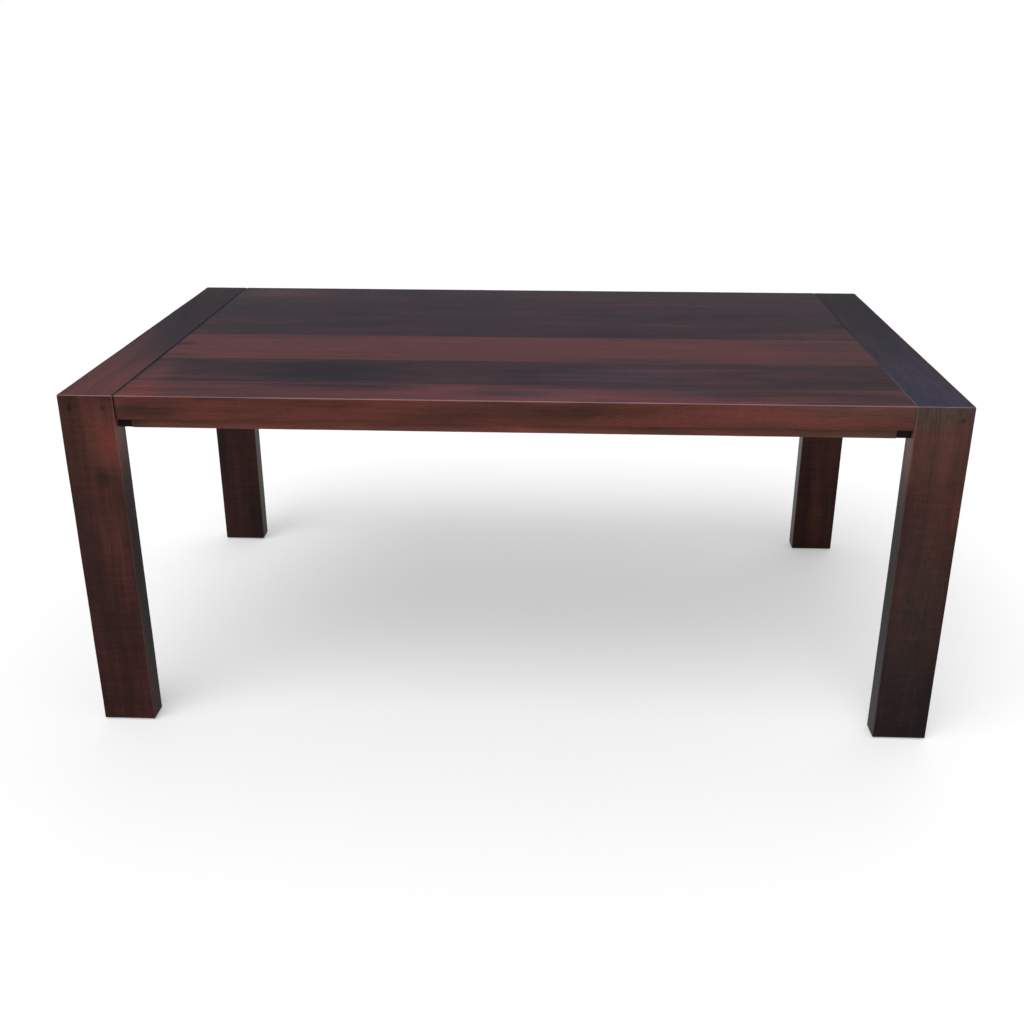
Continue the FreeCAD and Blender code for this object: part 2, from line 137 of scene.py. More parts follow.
class TABLE_PG_finish(bpy.types.PropertyGroup):
    """Colours and gloss of the finishes."""
    darkest: colour("Darkest heartwood", "Blue-black streaks under the stain", "1b1618")
    dark: colour("Dark heartwood", "Ground of the dark boards", "331f1c")
    middle: colour("Red-brown", "Ground of the legs and edges", "4d2b25")
    light: colour("Plum red", "Ground of the red boards", "62302b")
    lightest: colour("Light red", "Lightest streaks", "7b4236")
    # Painted highlight: a pale colour laid along the arrises, where the lacquer's rounding would catch the
    # light
    painted_highlight: colour("Rubbed arris", "Where the stain is rubbed thin on the arrises", "93787b")
    # Painted reflection: its colours on the top and on upright faces, and how much of it the whole top has
    top_reflection_colour: colour("Top's haze", "Fine scratches in the top's lacquer, which catch the light", "494862")
    side_reflection_colour: colour("Sides' haze", "Fine scratches in the upright faces' lacquer", "6a5a50")
    top_reflection: share("Top haze", "How much of its haze the whole top has", 0.11)
    lacquer_roughness: share("Lacquer roughness", "Of the rubbed lacquer over the stain", 0.08)
    lacquer_reflection: share("Lacquer reflection", "Specular level of the lacquer", 0.015)
    dowel_crown: length("Dowel crown", "How far the middle of a dowel's end stands out", 0.0004)


class TABLE_PG_stage(bpy.types.PropertyGroup):
    """The studio and the camera."""
    floor: colour("Floor", "Pale floor", "f7f7f7")
    floor_glow: share("Floor glow", "How far the floor is seen as plain white through its shadows", 0.35)
    key_strength: share("Key strength", "Irradiance of the large soft key lamp", 1.9, 20)
    back_strength: share("Back strength", "Irradiance of the weaker lamp behind", 0.4, 20)
    camera_place: bpy.props.FloatVectorProperty(
        name="Camera", description="Where the camera stands", default=(0.1107, -2.7661, 1.4450),
        subtype="TRANSLATION", unit="LENGTH",
    )
    camera_tilt: bpy.props.FloatProperty(
        name="Tilt", description="How far the camera looks down", default=0.39086, unit="ROTATION",
    )
    camera_turn: bpy.props.FloatProperty(
        name="Turn", description="How far the camera turns to its left", default=0.04653, unit="ROTATION",
    )
    focal_pixels: bpy.props.FloatProperty(
        name="Focal length", description="In pixels of an image 1024 wide", default=1173.27, min=1,
    )


# ---- Surfaces

BESIDE_ARRIS = 0.003                    # metres from an arris to the first points on the flat
END_RINGS = (0.35, 0.7)                 # rings on a board's end, as shares of the way in to its middle
END_BLEND = 0.03                        # metres over which the long arrises' radius becomes the end's
ARRIS_WAVE = 0.15                       # metres from one worn place on an arris to the next
SURFACE_WAVE = 0.45                     # metres from one swell of a surface to the next
DOWEL_SIDES = 24                        # facets round a dowel
FIGURE_SHIFT = 5.0                      # metres that a board's figure is moved at most, so that none match


def rounding_steps(ease):
    """How far from an arris its rounding has points: at every 15 degrees up to its middle."""
    return ease * (1 - np.tan(np.radians((45, 30, 15, 0))))


def stations(size, step, ease):
    """Places along a side, about a step apart, with more beside and on its two rounded arrises."""
    near = rounding_steps(ease)
    start = ease + BESIDE_ARRIS
    middle = np.linspace(start, size - start, max(2, round((size - 2 * start) / step) + 1))
    return np.concatenate([near, middle, size - near[::-1]])


def section(width, depth, step, ease):
    """A rectangle from (0, 0) to (width, depth), as points once round its outline."""
    across, up = stations(width, step, ease), stations(depth, step, ease)
    sides = [
        (across[:-1], 0 * across[:-1]), (0 * up[:-1] + width, up[:-1]),
        (across[:0:-1], 0 * across[:0:-1] + depth), (0 * up[:0:-1], up[:0:-1]),
    ]
    return np.concatenate([np.stack(side, 1) for side in sides])


def mitred_ends(points, low, high, run, mitre):
    """Where each point's line along the board starts and stops.

    At a mitred end it stops as much short as it lies in from the mitre's outer face.
    """
    if not mitre:
        return low[run], high[run]
    depth = abs(points[..., mitre["axis"]] - mitre["outer"]) * mitre["slope"]
    return low[run] + depth * mitre["ends"][0], high[run] - depth * mitre["ends"][1]


def carried_section(low, high, run, step, ease, mitre=None):
    """A plain board as rings of points: the rectangle of its section carried along its run.

    The first parameter goes along the board and the second round its outline. A point is the section's
    middle plus the outline's offset from it, and at each end this offset shrinks in steps to nothing,
    which closes the end.
    """
    u, v = (run + 1) % 3, (run + 2) % 3
    size = high - low
    outline = section(size[u], size[v], step, ease)
    middle = np.array([size[u], size[v]]) / 2
    closing = np.concatenate([rounding_steps(ease)[1:], middle.min() * np.array(END_RINGS)])
    along = stations(size[run], step, ease) / size[run]
    fraction = np.concatenate([0 * closing, [0], along, [1], 0 * closing + 1])
    inset = np.concatenate([[middle.min()], closing[::-1], 0 * along, closing, [middle.min()]])
    shrink = 1 - inset[:, None] / middle
    shrink[[0, -1]] = 0
    flat = middle + (outline - middle) * shrink[:, None, :]
    points = np.empty(flat.shape[:2] + (3,))
    points[..., u] = low[u] + flat[..., 0]
    points[..., v] = low[v] + flat[..., 1]
    start, stop = mitred_ends(points, low, high, run, mitre)
    points[..., run] = start + fraction[:, None] * (stop - start)
    return points


def turned_profile(profile, centre, axis, around):
    """A profile of (radius, place along the axis) pairs turned round the axis, as rings of points.

    At each turn a point lies its radius times the turn's cosine and sine away from the axis.
    """
    radius, along = np.array(profile).T
    turn = 2 * np.pi * np.arange(around) / around
    points = np.empty((len(radius), around, 3))
    points[..., axis] = along[:, None]
    points[..., (axis + 1) % 3] = radius[:, None] * np.cos(turn)
    points[..., (axis + 2) % 3] = radius[:, None] * np.sin(turn)
    return points + np.array(centre)


def waves(points, seed, wavelength):
    """A smooth unevenness between -1 and 1: three sine waves that cross at odd angles."""
    rng = np.random.default_rng(seed)
    total = 0
    for _ in range(3):
        direction = rng.normal(size=3)
        direction /= np.linalg.norm(direction)
        turns = points @ direction / (wavelength * rng.uniform(0.6, 1.6)) + rng.uniform()
        total = total + np.sin(2 * np.pi * turns)
    return total / 3


def eased(points, low, high, ease):
    """Rounds a box's arrises, and gives each point's outward direction.

    A point that lies further than the ease from the box shrunk by it is drawn in to that distance.
    """
    inner = np.clip(points, low + ease, high - ease)
    out = points - inner
    distance = np.linalg.norm(out, axis=-1, keepdims=True)
    direction = out / np.maximum(distance, 1e-9)
    return inner + direction * np.minimum(distance, ease), direction


def outward(rings):
    """The rings, turned round where needed so that their faces point outwards.

    The closed shell's volume is a third of the sum, over its faces, of middle times area vector.
    """
    after = np.roll(rings, -1, axis=1)
    here, there = rings[:-1], rings[1:]
    area = np.cross(after[1:] - here, there - after[:-1]) / 2
    volume = np.sum((here + there + after[:-1] + after[1:]) / 4 * area) / 3
    return rings if volume > 0 else rings[:, ::-1]


def closed_faces(rings, around, first):
    """The faces of a stack of rings with a pole at each end, numbered from this first point."""
    ring, place = np.meshgrid(np.arange(rings - 1), np.arange(around), indexing="ij")
    after = (place + 1) % around
    lower = first + 1 + ring * around
    upper = lower + around
    quads = np.stack([lower + place, lower + after, upper + after, upper + place], -1)
    here = np.arange(around)
    there = (here + 1) % around
    last_ring = first + 1 + (rings - 1) * around
    last = first + 1 + rings * around
    caps = np.concatenate([
        np.stack([0 * here + first, first + 1 + there, first + 1 + here], -1),
        np.stack([0 * here + last, last_ring + here, last_ring + there], -1),
    ])
    return quads.reshape(-1, 4).tolist() + caps.tolist()


def solid_piece(name, shells, tones=None):
    """A mesh object from closed shells, each an array of rings whose first and last are poles.

    Each tone is an attribute's name and the function that gives its value at the points.
    """
    points, faces, count = [], [], 0
    for shell in shells:
        rings = outward(shell)
        faces += closed_faces(len(rings) - 2, rings.shape[1], count)
        points += [rings[0, :1], rings[1:-1].reshape(-1, 3), rings[-1, :1]]
        count = sum(len(part) for part in points)
    points = np.concatenate(points)
    mesh = bpy.data.meshes.new(name)
    mesh.from_pydata(points.tolist(), [], faces)
    mesh.shade_smooth()
    for attribute, value_at in (tones or {}).items():
        layer = mesh.attributes.new(attribute, "FLOAT", "POINT")
        layer.data.foreach_set("value", value_at(points).astype(np.float32))
    mesh.update()
    piece = bpy.data.objects.new(name, mesh)
    bpy.context.scene.collection.objects.link(piece)
    piece.modifiers.new("Flat faces first", "WEIGHTED_NORMAL").mode = "FACE_AREA"
    return piece


# ---- The wood's tone on each board

def patch(points, centre, reach):
    """A soft oval patch: one at its centre, and fading to nothing past its reach on each axis.

    It is e to the minus of the squares of the distances over the reaches, summed.
    """
    away = (points - np.array(centre)) / np.array(reach)
    return np.exp(-np.sum(away ** 2, axis=-1))


FRONT, BACK = -0.533, 0.533             # metres: the table's long sides
ANY = 9.0                               # a reach past the table's own size
# Painted shade: a dark line along the open seam at the left end, on every board that meets it
LEFT_SEAM_SHADE = ((-0.7985, 0.0, TOP_Z), (0.003, ANY, ANY), -0.45)
# A tone goes from 0, blue-black heartwood, to 1, light red. Each board has its ground's tone, how strong
# its figure is, and the patches that add to the tone: their centre, their reach and how much they add
# Some patches are painted shade or painted reflection, as marked below
BOARD_TONES = {
    "front_edge_board": (0.52, 1.2, [
        ((-0.76, -0.500, TOP_Z), (0.06, 0.14, 0.004), 0.26),
        ((-0.50, -0.46, TOP_Z), (0.22, 0.03, 0.004), -0.10),
        ((-0.30, -0.44, TOP_Z), (0.14, 0.012, 0.004), -0.26),
        ((-0.15, -0.46, TOP_Z), (0.09, 0.035, 0.004), 0.28),
        ((0.02, -0.49, TOP_Z), (0.07, 0.012, 0.004), -0.22),
        ((0.05, -0.52, TOP_Z), (0.16, 0.012, 0.004), 0.20),
        ((0.14, -0.47, TOP_Z), (0.08, 0.03, 0.004), 0.16),
        ((0.45, -0.46, TOP_Z), (0.24, 0.06, 0.004), -0.14),
        ((0.68, -0.45, TOP_Z), (0.05, 0.012, 0.004), 0.06),
        ((0.72, -0.50, TOP_Z), (0.06, 0.012, 0.004), 0.04),
        ((0.60, -0.42, TOP_Z), (0.20, 0.02, 0.004), -0.16),
        ((0.74, -0.48, TOP_Z), (0.12, 0.06, 0.004), -0.16),
        ((-0.74, FRONT, 0.735), (0.08, 0.004, 0.024), -0.20),
        ((-0.46, FRONT, 0.735), (0.16, 0.004, 0.024), 0.08),
        ((-0.10, FRONT, 0.735), (0.24, 0.004, 0.024), -0.04),
        ((0.58, FRONT, 0.735), (0.22, 0.004, 0.024), 0.10),
        # Painted reflection: the front face lighter just below the top arris at the right end
        ((0.72, FRONT, 0.757), (0.20, 0.004, 0.012), 0.14),
        ((0.76, FRONT, 0.716), (0.14, 0.004, 0.010), -0.16),
        LEFT_SEAM_SHADE,
    ]),
    "field_board_1": (0.20, 1.0, [
        ((-0.42, -0.32, TOP_Z), (0.16, 0.07, ANY), -0.30),
        ((-0.60, -0.38, TOP_Z), (0.20, 0.03, ANY), 0.10),
        ((-0.74, -0.25, TOP_Z), (0.06, 0.015, ANY), -0.18),
        ((-0.77, -0.36, TOP_Z), (0.04, 0.09, ANY), 0.38),
        ((0.02, -0.37, TOP_Z), (0.05, 0.04, ANY), -0.20),
        ((-0.10, -0.38, TOP_Z), (0.20, 0.03, ANY), 0.14),
        ((0.40, -0.32, TOP_Z), (0.24, 0.08, ANY), 0.16),
        LEFT_SEAM_SHADE,
    ]),
    "field_board_2": (0.56, 0.7, [
        ((-0.785, -0.105, TOP_Z), (0.025, 0.014, ANY), -0.40),
        ((-0.77, -0.205, TOP_Z), (0.05, 0.014, ANY), -0.20),
        ((-0.60, -0.02, TOP_Z), (0.22, 0.02, ANY), -0.12),
        ((-0.10, -0.13, TOP_Z), (0.40, 0.06, ANY), 0.05),
        ((0.30, -0.215, TOP_Z), (0.20, 0.02, ANY), -0.26),
        ((0.74, -0.12, TOP_Z), (0.14, 0.10, ANY), -0.12),
        LEFT_SEAM_SHADE,
    ]),
    "field_board_3": (0.16, 0.9, [
        ((-0.785, 0.11, TOP_Z), (0.02, 0.02, ANY), 0.16),
        ((-0.78, 0.01, TOP_Z), (0.03, 0.02, ANY), 0.18),
        ((-0.43, 0.16, TOP_Z), (0.05, 0.03, ANY), -0.10),
        ((-0.10, 0.06, TOP_Z), (0.10, 0.06, ANY), -0.06),
        ((0.12, 0.12, TOP_Z), (0.22, 0.05, ANY), 0.08),
        ((0.74, 0.03, TOP_Z), (0.14, 0.06, ANY), 0.24),
        ((0.78, 0.14, TOP_Z), (0.05, 0.02, ANY), -0.10),
        LEFT_SEAM_SHADE,
    ]),
    "field_board_4": (0.15, 0.9, [
        ((-0.70, 0.33, TOP_Z), (0.10, 0.05, ANY), -0.06),
        ((-0.22, 0.30, TOP_Z), (0.08, 0.03, ANY), -0.12),
        ((0.22, 0.22, TOP_Z), (0.05, 0.06, ANY), -0.12),
        ((0.45, 0.33, TOP_Z), (0.30, 0.06, ANY), 0.08),
        LEFT_SEAM_SHADE,
    ]),
    "back_edge_board": (0.17, 0.9, [
        ((-0.66, 0.47, TOP_Z), (0.14, 0.05, ANY), 0.22),
        ((-0.30, 0.47, TOP_Z), (0.06, 0.04, ANY), -0.12),
        ((0.30, 0.46, TOP_Z), (0.25, 0.05, ANY), 0.08),
        ((0.0, BACK, 0.735), (ANY, 0.004, 0.04), 0.26),
        LEFT_SEAM_SHADE,
    ]),
    "header_left": (0.0, 0.8, [
        # Painted reflection: the front half of the left header lighter and plum, fading to blue-black at the
        # back
        ((-0.86, -0.50, TOP_Z), (ANY, 0.48, ANY), 0.60),
        ((-0.80, -0.18, TOP_Z), (0.03, 0.16, ANY), -0.14),
        # Painted shade along the left seam
        ((-0.8005, 0.0, TOP_Z), (0.002, ANY, ANY), -0.45),
        ((-0.9144, 0.10, 0.735), (0.004, 0.40, ANY), 0.20),
    ]),
    "header_right": (0.02, 1.0, [
        ((0.86, -0.50, TOP_Z), (ANY, 0.45, ANY), 0.06),
        # Painted shade: a dark line along the back part of the right seam
        ((0.8005, 0.20, TOP_Z), (0.003, 0.40, ANY), -0.30),
        ((0.9144, 0.0, 0.735), (0.004, ANY, ANY), 0.24),
    ]),
    "leg_front_left": (0.22, 0.8, [
        ((-0.860, FRONT, 0.76), (0.060, ANY, 0.12), 0.06),
        ((-0.822, FRONT, 0.655), (0.032, 0.01, 0.07), 0.46),
        ((-0.825, FRONT, 0.45), (0.030, 0.01, 0.09), 0.12),
        ((-0.842, FRONT, 0.585), (0.016, 0.01, 0.018), -0.22),
        ((-0.812, FRONT, 0.09), (0.012, 0.01, 0.09), 0.12),
        ((-0.83, FRONT, 0.40), (0.04, 0.01, 0.30), 0.06),
        # Painted reflection: the inner side lighter near the top; painted shade: darker lower down
        ((-0.8001, -0.51, 0.70), (0.003, 0.03, 0.07), 0.50),
        ((-0.8001, -0.51, 0.25), (0.003, 0.03, 0.30), -0.16),
    ]),
    "leg_front_right": (0.21, 0.8, [
        ((0.87, FRONT, 0.70), (0.07, ANY, 0.16), 0.26),
        ((0.86, FRONT, 0.757), (ANY, 0.004, 0.028), -0.20),
        ((0.86, FRONT, 0.0), (ANY, ANY, 0.32), -0.20),
        # Painted reflection: the inner side lighter near the top; painted shade: darker lower down
        ((0.8001, -0.51, 0.70), (0.003, 0.03, 0.07), 0.50),
        ((0.8001, -0.51, 0.25), (0.003, 0.03, 0.30), -0.16),
    ]),
    "skirt_strip_front": (0.60, 1.0, [
        # Painted shade: the strip darker at each end, beside the dark notch at the leg
        ((-0.76, -0.523, 0.70), (0.022, ANY, ANY), -0.30),
        ((0.77, -0.523, 0.70), (0.022, ANY, ANY), -0.22),
        ((-0.45, -0.523, 0.70), (0.25, ANY, ANY), 0.10),
        ((0.05, -0.523, 0.70), (0.20, ANY, ANY), 0.08),
        ((0.33, -0.523, 0.70), (0.06, ANY, ANY), -0.26),
        ((0.65, -0.523, 0.70), (0.15, ANY, ANY), -0.16),
    ]),
    "skirt_strip_back": (0.55, 1.0, [((0.2, 0.523, 0.70), (0.4, ANY, ANY), 0.08)]),
    "leg_back_left": (0.16, 0.8, [
        ((-0.84, 0.5, 0.30), (0.05, ANY, 0.20), 0.06),
        ((-0.84, 0.482, 0.70), (ANY, 0.01, 0.15), 0.10),
    ]),
    "leg_back_right": (0.24, 0.8, [
        ((0.84, 0.5, 0.40), (0.05, ANY, 0.25), 0.08),
        ((0.84, 0.482, 0.70), (ANY, 0.01, 0.15), 0.06),
    ]),
}
# Patches of painted reflection: where more or less of it lies than over the rest of the top, or where it lies
# on an upright face at all
BOARD_REFLECTIONS = {
    "header_left": [((-0.86, 0.53, TOP_Z), (ANY, 0.40, 0.004), -0.10)],
    "header_right": [
        ((0.86, -0.55, TOP_Z), (ANY, 0.45, 0.004), 0.20),
        ((0.86, 0.53, TOP_Z), (ANY, 0.40, 0.004), -0.10),
        ((0.86, FRONT, 0.72), (ANY, 0.004, 0.06), 0.08),
    ],
    "leg_front_left": [
        ((-0.8001, -0.51, 0.68), (0.003, 0.03, 0.06), 0.5),
        ((-0.86, FRONT, 0.60), (ANY, 0.01, 0.30), 0.04),
    ],
    "leg_front_right": [
        ((0.85, FRONT, 0.70), (0.08, 0.01, 0.10), 0.12),
        ((0.86, FRONT, 0.755), (ANY, 0.01, 0.032), 0.20),
        ((0.85, FRONT, 0.35), (0.08, 0.01, 0.30), 0.10),
        ((0.8001, -0.51, 0.68), (0.003, 0.03, 0.06), 0.5),
    ],
    "leg_back_left": [((-0.84, 0.482, 0.40), (ANY, 0.01, ANY), 0.04)],
    "leg_back_right": [((0.84, 0.482, 0.40), (ANY, 0.01, ANY), 0.04)],
    "front_edge_board": [
        ((0.36, -0.45, TOP_Z), (0.08, 0.05, 0.004), 0.12),
        ((0.12, -0.48, TOP_Z), (0.10, 0.06, 0.004), 0.10),
        ((-0.02, -0.50, TOP_Z), (0.20, 0.05, 0.004), 0.06),
        ((-0.76, -0.49, TOP_Z), (0.08, 0.08, 0.004), -0.06),
        ((0.0, FRONT, 0.735), (ANY, 0.004, 0.04), 0.05),
        ((0.62, FRONT, 0.735), (0.25, 0.004, 0.024), 0.08),
        ((0.74, FRONT, 0.755), (0.22, 0.004, 0.010), 0.16),
    ],
    "field_board_1": [
        ((-0.42, -0.32, TOP_Z), (0.16, 0.07, 0.004), -0.04),
        ((0.24, -0.34, TOP_Z), (0.15, 0.07, 0.004), 0.12),
    ],
    "skirt_strip_front": [
        ((0.0, -0.523, 0.70), (ANY, 0.01, ANY), 0.18),
        ((0.74, -0.523, 0.70), (0.12, 0.01, ANY), 0.12),
    ],
    "skirt_strip_back": [((0.0, 0.523, 0.70), (ANY, 0.01, ANY), 0.18)],
}
# Patches of painted highlight on an arris at a seam, added to the arrises' own
BOARD_ARRIS_HIGHLIGHTS = {"header_right": [((0.8005, -0.50, TOP_Z), (0.0012, 0.28, 0.01), 0.6)]}


def summed(patches, points):
    """What all patches together add at each point."""
    return sum(amount * patch(points, centre, reach) for centre, reach, amount in patches)


def tone_and_painted_light_of(board):
    """The function that gives a board's tone at each of its points, with its painted shade and painted
    reflection patches.
    """
    ground, _, patches = BOARD_TONES[board]
    return lambda points: ground + summed(patches, points)


def painted_reflection_of(board):
    """The function that gives how much painted reflection lies at each of a board's points.

    The top's even painted reflection sets in from 1.5 to 0.5 mm below its surface, and the board's patches
    add to it.
    """
    top_reflection = bpy.context.scene.table_finish.top_reflection
    depths = (-0.0015, -0.0005)

    def painted_reflection(points):
        on_top = np.interp(points[:, Z] - TOP_Z, depths, (0, 1))
        return np.clip(top_reflection * on_top + summed(BOARD_REFLECTIONS.get(board, []), points), 0, 1)
    return painted_reflection


FULL_ARRIS_HIGHLIGHT = 1.4                     # over one, so that the painted highlight covers the middle of the rounding fully
LEG_ARRIS_HIGHLIGHT = 0.2                        # a leg's painted highlight as a share of the top's


def arris_highlight_of(board, low, high, run, across, radii):
    """The function that gives how much painted highlight lies at each of a board's points, along the arrises
    where the lacquer's rounding would catch the light.

    It is one in the middle of the top's open arrises, falls evenly to nothing past their rounding, and is
    less on a leg's. A joined side and an underside have no such arris, so there the board's box is taken
    as a metre larger.
    """
    arris = bpy.context.scene.table_boards.arris
    joined = [radius < arris for radius in radii]
    low, high = low.copy(), high.copy()
    low[across] -= joined[0]
    high[across] += joined[1]
    low[run] -= joined[2]
    high[run] += joined[2]
    low[Z] -= 1

    def arris_highlight(points):
        depths = np.sort(np.minimum(points - low, high - points), axis=-1)
        near_top = np.clip((points[..., Z] - TOP_Z) / arris + 2, 0, 1)
        painted_highlight = np.clip(FULL_ARRIS_HIGHLIGHT * (1 - depths[..., 1] / arris), 0, 1)
        painted_highlight = painted_highlight * (LEG_ARRIS_HIGHLIGHT + (1 - LEG_ARRIS_HIGHLIGHT) * near_top)
        return painted_highlight + summed(BOARD_ARRIS_HIGHLIGHTS.get(board, []), points)
    return arris_highlight


def arris_radius(points, low, high, run, across, radii):
    """The arris radius at each point.

    It goes evenly from one long side's to the other's, and to the ends' over the last 30 mm.
    """
    first, last, end = radii
    share_across = (points[..., across] - low[across]) / (high[across] - low[across])
    radius = first + (last - first) * share_across
    to_end = np.minimum(points[..., run] - low[run], high[run] - points[..., run])
    return end + (radius - end) * np.clip(to_end / END_BLEND, 0, 1)


def add_board(node, run, across, radii, slot, seed, high=None, low=None, mitre=None, **wood):
    """Makes a board in place of its node, with worn arrises and a faint unevenness, and finishes it.

    The radii are those of the arrises along its first side, along its last and at its ends. What else is
    given is the wood's own.
    """
    sizes = bpy.context.scene.table_boards
    node_low, node_high = corners(node)
    low = node_low if low is None else low
    high = node_high if high is None else high
    points = carried_section(low, high, run, sizes.step, max(radii), mitre)
    start, stop = mitred_ends(points, low, high, run, mitre)
    radius = arris_radius(points, low, high, run, across, radii)
    radius = radius * (1 + sizes.arris_wear * waves(points, seed, ARRIS_WAVE))
    to_mitre = np.minimum(points[..., run] - start, stop - points[..., run])
    points, direction = eased(points, low, high, radius[..., None])
    swell = sizes.unevenness * waves(points, seed + 1, SURFACE_WAVE)
    if mitre:
        swell = swell - sizes.mitre_line * np.clip(1 - to_mitre / max(radii), 0, 1)
    points = points + direction * swell[..., None]
    tones = {
        "tone_and_painted_light": tone_and_painted_light_of(node), "painted_reflection": painted_reflection_of(node),
        "arris_highlight": arris_highlight_of(node, low, high, run, across, radii),
    }
    piece = solid_piece(node + "_wood", [points], tones)
    shift = np.random.default_rng(seed).uniform(-FIGURE_SHIFT, FIGURE_SHIFT, 3)
    piece.data.materials.append(stained_hardwood(
        "stained_hardwood_" + node, run, shift, figure=BOARD_TONES[node][1], **wood,
    ))
    place(piece, slot, node)


def place(piece, slot, *nodes):
    """Seats a piece on the table's body, in place of its nodes."""
    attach(piece, BODY)
    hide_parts(*nodes)


# ---- Materials

def add(tree, kind, sockets, **properties):
    """Adds a node, sets its properties, and sets each socket or links it to another node's output."""
    new = tree.nodes.new(kind)
    for name, value in properties.items():
        setattr(new, name, value)
    for name, value in sockets.items():
        if isinstance(value, bpy.types.NodeSocket):
            tree.links.new(value, new.inputs[name])
        else:
            new.inputs[name].default_value = value
    return new


def new_material(name):
    """An empty material with its node tree and its surface socket."""
    material = bpy.data.materials.new(name)
    material.use_nodes = True
    tree = material.node_tree
    tree.nodes.clear()
    return material, tree, tree.nodes.new("ShaderNodeOutputMaterial").inputs["Surface"]


# Turns that bring a board's grain on to X, and the colour sockets of a mix node
GRAIN_TURN = {X: (0, 0, 0), Y: (0, 0, -math.pi / 2), Z: (0, math.pi / 2, 0)}
MIX_A, MIX_B, MIX_RESULT = 6, 7, 2


def per_mm(along, across):
    """Noise scale for marks of this length along the grain and width across it, in millimetres."""
    return 1000 / along, 1000 / across, 1000 / across


def grain_marks(tree, vector, sizes):
    """Noise for each kind of mark, by name, from its length, width and detail."""
    marks = {}
    for mark, (along, across, detail) in sizes.items():
        scaled = add(tree, "ShaderNodeMapping", {"Vector": vector, "Scale": per_mm(along, across)})
        marks[mark] = add(tree, "ShaderNodeTexNoise", {
            "Vector": scaled.outputs[0], "Scale": 1.0, "Detail": detail, "Roughness": 0.6,
        }).outputs["Fac"]
    return marks


def set_stops(ramp, stops):
    """Gives a colour ramp its stops, each a place and a colour."""
    elements = ramp.color_ramp.elements
    for _ in stops[2:]:
        elements.new(0.5)
    for i, (at, tint) in enumerate(stops):
        elements[i].position = at
        elements[i].color = (*tint, 1)


# The stained hardwood's marks: their length along the grain and width across it in millimetres, and their
# noise's detail. Pores are drawn about five times their real width, so that they show; the reflection
# streaks break the painted reflection into fine lines
WOOD_MARKS = {
    "cloud": (240, 70, 2.0), "streak": (420, 26, 5.0), "line": (130, 4.5, 3.0), "pore": (9, 1.3, 1.0),
    "band": (14, 120, 2.0), "tick": (6, 40, 1.0), "reflection_streak": (90, 1.6, 2.0),
}
PORE_STAIN = 0.5                        # how far a pore is filled with the darkest stain
PORE_ROUGHNESS = 0.15                   # how much rougher than the lacquer it is
UNDERSIDE_ROUGHNESS = 0.55              # of the brushed stain, which isn't rubbed down


def paint_highlight_and_reflection(tree, marks, facing_up, stained):
    """The stained wood's colour, with a painted highlight in streaks on its arrises and a painted reflection
    in fine streaks over it.

    The painted reflection is blue-grey where a face looks up and warm where it stands upright.
    """
    look = bpy.context.scene.table_finish
    # Painted highlight: a pale colour along the arrises, broken into streaks
    arris_highlight = add(tree, "ShaderNodeAttribute", {}, attribute_name="arris_highlight")
    patchy = add(tree, "ShaderNodeMapRange", {
        "Value": marks["streak"], "From Min": 0.3, "From Max": 0.6, "To Min": 0.5,
    })
    painted_highlight = add(tree, "ShaderNodeMath", {
        0: arris_highlight.outputs["Fac"], 1: patchy.outputs[0],
    }, operation="MULTIPLY")
    with_highlight = add(tree, "ShaderNodeMix", {
        0: painted_highlight.outputs[0], MIX_A: stained, MIX_B: (*look.painted_highlight, 1),
    }, data_type="RGBA")
    # Painted reflection: blue-grey over faces that look up, warm over upright ones, broken into fine streaks
    painted_reflection = add(tree, "ShaderNodeAttribute", {}, attribute_name="painted_reflection")
    reflection_streaks = add(tree, "ShaderNodeMapRange", {
        "Value": marks["reflection_streak"], "From Min": 0.35, "From Max": 0.65, "To Min": 0.6, "To Max": 1.4,
    })
    reflection_amount = add(tree, "ShaderNodeMath", {
        0: painted_reflection.outputs["Fac"], 1: reflection_streaks.outputs[0],
    }, operation="MULTIPLY", use_clamp=True)
    upwards = add(tree, "ShaderNodeMapRange", {"Value": facing_up, "From Min": 0.3, "From Max": 0.7})
    tint = add(tree, "ShaderNodeMix", {
        0: upwards.outputs[0], MIX_A: (*look.side_reflection_colour, 1), MIX_B: (*look.top_reflection_colour, 1),
    }, data_type="RGBA")
    return add(tree, "ShaderNodeMix", {
        0: reflection_amount.outputs[0], MIX_A: with_highlight.outputs[MIX_RESULT], MIX_B: tint.outputs[MIX_RESULT],
    }, data_type="RGBA").outputs[MIX_RESULT]


